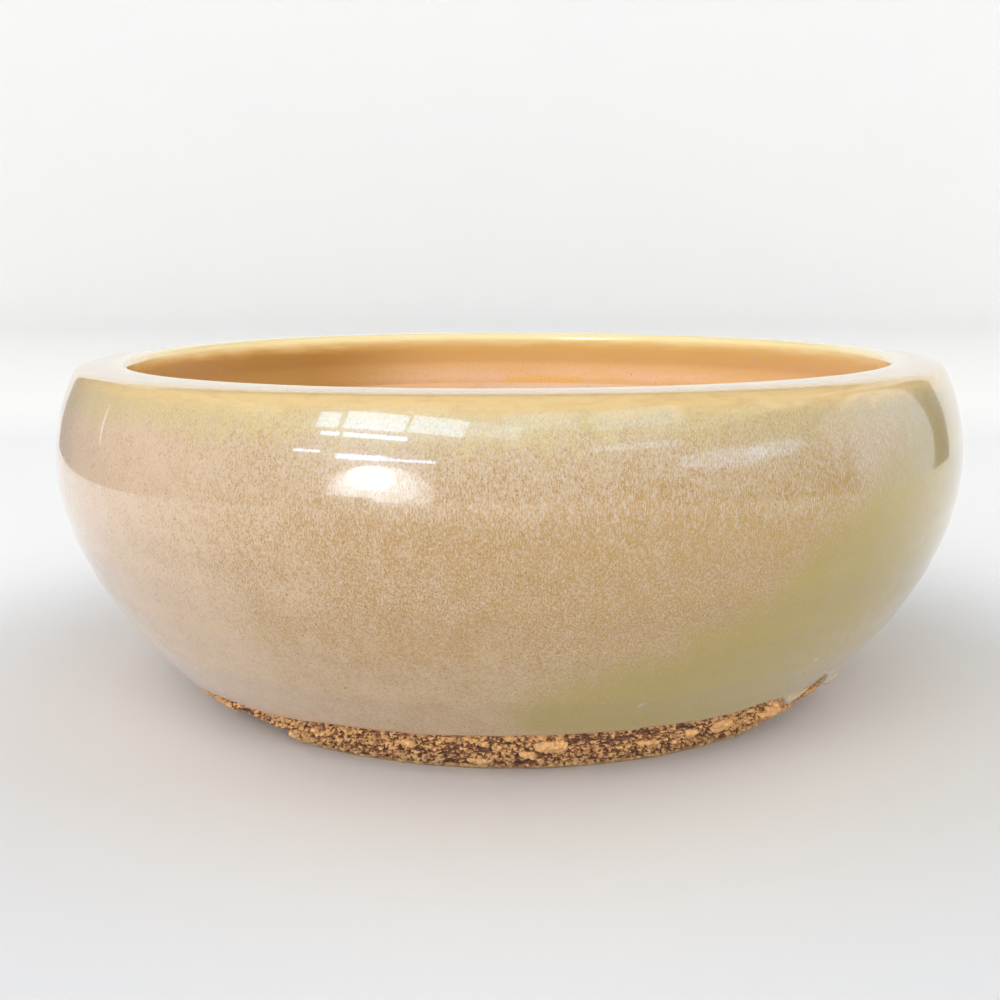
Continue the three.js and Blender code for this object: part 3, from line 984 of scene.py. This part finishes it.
def make_lights():
    # A tall window, in front on the left: two rows of panes, slots of light below them, and what
    # shines in over the table. Edges are left, right, low and high.
    for name, edges, radiance in (
            ("pane_left", (-0.300, -0.210, 0.014, 0.128), 8.6),
            ("pane_middle", (-0.186, 0.052, 0.014, 0.144), 8.6),
            ("pane_right", (0.066, 0.285, 0.019, 0.156), 7.4),
            ("pane_far_right", (0.300, 0.52, 0.045, 0.165), 2.6),
            ("sill_left", (-0.270, -0.190, -0.046, -0.018), 16),
            ("sill", (-0.172, 0.080, -0.050, -0.018), 16),
            ("dash", (-0.379, -0.251, -0.188, -0.163), 16),
            ("slot_left", (-0.180, 0.020, -0.236, -0.186), 16),
            ("slot_right", (0.020, 0.230, -0.234, -0.204), 13)):
        pane(name, *edges, radiance)
    for name, edges, radiance in (
            ("low_core", (-0.125, 0.090, -0.500, -0.285), 8),
            ("low_middle", (-0.170, 0.190, -0.640, -0.285), 5.5),
            ("low_glow", (-0.230, 0.270, -0.800, -0.285), 3.5)):
        pane(name, *edges, radiance, color=PALE_DAYLIGHT, shape="ELLIPSE")

    # A dimmer window, in front on the right: azimuth, elevation, width and height in degrees
    for name, angles, radiance, shape in (
            ("far_pane_left", (8, 37, 16, 7), 2.2, "RECTANGLE"),
            ("far_pane_right", (33, 36, 20, 8), 2.0, "RECTANGLE"),
            ("far_slot", (30, 24, 20, 3), 2.6, "RECTANGLE"),
            ("far_low", (50, 14, 22, 8), 2.4, "ELLIPSE"),
            ("far_low_right", (64, 15, 16, 7), 2.0, "ELLIPSE")):
        reflected_only(window(name, *angles, radiance, color=DAYLIGHT, shape=shape))

    # The ceiling, three big soft lights, and one that looks at the wall behind the pot
    window("ceiling", -60, 76, 64, 64, 0.20)
    for side, azimuth, width, radiance in (("front", -14, 84, 3.15), ("right", 100, 56, 2.05),
                                           ("left", -104, 56, 1.50)):
        soft = window("soft_" + side, azimuth, SOFT_ELEVATION, width, SOFT_HEIGHT, radiance,
                      distance=SOFT_DISTANCE)
        soft.visible_glossy = False
    panel("wall_wash", (0, 0.5, 1.7), (0, 2.3, 0.3), (2.6, 0.6), 0.12)


# What the glaze mirrors of the room: sheets that only reflections see.
SHEETS_SEEN_FROM = 50           # the height, in mm, that their pattern is drawn for
LEFT_SHEET, RIGHT_SHEET = -0.33, 0.43   # where the side sheets stand, along X
FAR_SHEET = 1.75                # radius of the far sheet
FAR_SHEET_HEIGHT = 1.0
BOARD_AZIMUTH, BOARD_ELEVATION = 92, 2
GAP_AZIMUTH = -102
BOARD_LIGHT = (0.84, 0.92, 1.12, 1.0)
GAP_LIGHT = (1.9, 2.0, 2.2, 1.0)


def room_material():
    """A dim room: greyer at the sides, with a round pale board on the right and a lit gap on the left."""
    s = Shader("dim_room")
    up = s.math("SUBTRACT", s.height, SHEETS_SEEN_FROM)
    elevation = s.math("MULTIPLY", s.math("ARCTAN2", up, s.radius), 180 / math.pi)
    folds = s.ramp(s.noise(70, 300, detail=2), 0.35, 0.65)
    front = s.mix(folds, srgb(196, 194, 190), srgb(178, 176, 174))
    left = s.mix(folds, srgb(164, 156, 148), srgb(150, 142, 136))
    right = s.mix(folds, srgb(126, 120, 116), srgb(106, 102, 100))
    room = s.mix(s.ramp(s.azimuth, -50, -95), front, left)
    room = s.mix(s.ramp(s.azimuth, 20, 75), room, right)
    across = s.math("SUBTRACT", s.azimuth, BOARD_AZIMUTH)
    above = s.math("SUBTRACT", elevation, BOARD_ELEVATION)
    board = s.math("MULTIPLY", s.ramp(s.distance(across, above), 22.0, 21.0), s.ramp(s.azimuth, 78, 81.5))
    room = s.mix(board, room, BOARD_LIGHT)
    lean = s.sum(s.azimuth, -GAP_AZIMUTH, s.math("MULTIPLY", elevation, 0.28))
    gap = s.product(s.ramp(s.math("ABSOLUTE", lean), 0.65, 0.2), s.ramp(elevation, 0, 4),
                    s.ramp(elevation, 13.5, 9.5))
    room = s.mix(gap, room, GAP_LIGHT)
    return s.finish((0.0, 0.0, 0.0, 1.0), 1.0, Emission_Color=room, Emission_Strength=1.0)


def side_sheet_top(y):
    """The height of a side sheet: low in front, where the window shines over it, and tall behind."""
    return 0.05 + 0.20 * float(smoothstep(-0.13, -0.05, y))


def make_room():
    """Two low sheets close by on both sides, tall towards the back, and a far one round the front."""
    material = room_material()
    material.cycles.emission_sampling = "NONE"
    far = np.radians(np.linspace(-118, 108, 95))
    far_foot = [(FAR_SHEET * math.sin(a), -FAR_SHEET * math.cos(a)) for a in far]
    left_foot = [(LEFT_SHEET, y) for y in np.linspace(-0.6, 0.37, 40)]
    right_foot = [(RIGHT_SHEET, y) for y in np.linspace(-0.6, 0.297, 40)]
    for name, foot in (("far_sheet", far_foot), ("left_sheet", left_foot), ("right_sheet", right_foot)):
        top = [FAR_SHEET_HEIGHT if name == "far_sheet" else side_sheet_top(y) for _, y in foot]
        points = [(x, y, 0.001) for x, y in foot] + [(x, y, z) for (x, y), z in zip(foot, top)]
        mesh = bpy.data.meshes.new(name)
        mesh.from_pydata(points, [], grid_faces(2, len(foot), close_rows=False, close_columns=False))
        mesh.materials.append(material)
        sheet = bpy.data.objects.new(name, mesh)
        sheet.visible_camera = False
        sheet.visible_diffuse = False
        sheet.visible_shadow = False
        bpy.context.scene.collection.objects.link(sheet)


def make_world():
    """A faint even light from all around."""
    world = bpy.data.worlds.new("studio")
    world.use_nodes = True
    background = world.node_tree.nodes["Background"]
    background.inputs["Color"].default_value = (0.98, 0.985, 1.0, 1)
    background.inputs["Strength"].default_value = 0.23
    bpy.context.scene.world = world
    bpy.context.scene.view_settings.view_transform = "Standard"


make_camera()
make_stage()
make_room()
make_lights()
make_world()
